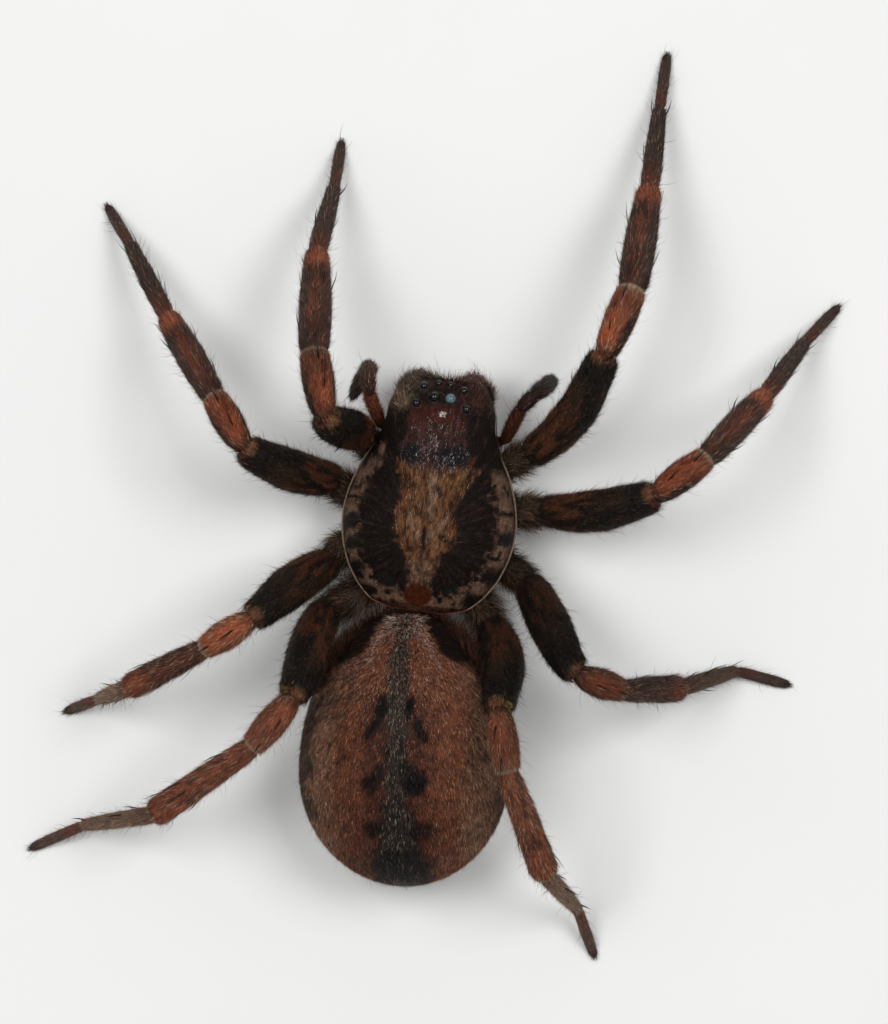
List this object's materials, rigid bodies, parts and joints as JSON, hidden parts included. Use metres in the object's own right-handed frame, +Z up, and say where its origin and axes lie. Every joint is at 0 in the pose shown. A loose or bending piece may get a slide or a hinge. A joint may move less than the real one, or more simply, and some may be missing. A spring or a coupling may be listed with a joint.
{
  "type": "spider model",
  "caption": "Life-size still model of a large ground-hunting spider standing on the floor, legs spread, with low carapace, oval abdomen, palps, jaws and eyes.",
  "frame": {"origin": "on the floor, under the centre of the whole model's box", "axes": "+Z up, the head towards -Y, the animal's left side towards +X"},
  "size_m": [0.0272, 0.0303, 0.0084],
  "materials": {
    "carapace": "dark brown shell with short golden and purplish hairs",
    "abdomen": "dark reddish brown skin with fine pale pinkish hairs and a khaki stripe",
    "leg": "black-brown thighs, rusty middle joints, greyish brown feet, with fine hairs",
    "palp": "rusty at the root, dark and hairy at the end",
    "jaw": "dark glossy shell with olive-brown bristles",
    "underside": "brown, short hair",
    "eye": "polished black lens"
  },
  "bodies": {
    "root": {"carapace": "carapace", "sternum": "underside", "pedicel": "underside", "abdomen": "abdomen", "spinnerets": "underside", "chelicera_right": "jaw", "chelicera_left": "jaw", "palp_right_base": "palp", "palp_right_end": "palp", "palp_left_base": "palp", "palp_left_end": "palp", "eye_posterior_median_right": "eye", "eye_posterior_median_left": "eye", "eye_posterior_lateral_right": "eye", "eye_posterior_lateral_left": "eye", "eye_anterior_lateral_right": "eye", "eye_anterior_lateral_left": "eye", "eye_anterior_median_right": "eye", "eye_anterior_median_left": "eye", "leg_1_right_coxa": "leg", "leg_1_right_femur": "leg", "leg_1_right_patella": "leg", "leg_1_right_tibia": "leg", "leg_1_right_foot": "leg", "leg_1_left_coxa": "leg", "leg_1_left_femur": "leg", "leg_1_left_patella": "leg", "leg_1_left_tibia": "leg", "leg_1_left_foot": "leg", "leg_2_right_coxa": "leg", "leg_2_right_femur": "leg", "leg_2_right_patella": "leg", "leg_2_right_tibia": "leg", "leg_2_right_foot": "leg", "leg_2_left_coxa": "leg", "leg_2_left_femur": "leg", "leg_2_left_patella": "leg", "leg_2_left_tibia": "leg", "leg_2_left_foot": "leg", "leg_3_right_coxa": "leg", "leg_3_right_femur": "leg", "leg_3_right_patella": "leg", "leg_3_right_tibia": "leg", "leg_3_right_foot": "leg", "leg_3_left_coxa": "leg", "leg_3_left_femur": "leg", "leg_3_left_patella": "leg", "leg_3_left_tibia": "leg", "leg_3_left_foot": "leg", "leg_4_right_coxa": "leg", "leg_4_right_femur": "leg", "leg_4_right_patella": "leg", "leg_4_right_tibia": "leg", "leg_4_right_foot": "leg", "leg_4_left_coxa": "leg", "leg_4_left_femur": "leg", "leg_4_left_patella": "leg", "leg_4_left_tibia": "leg", "leg_4_left_foot": "leg"}
  },
  "joints": []
}
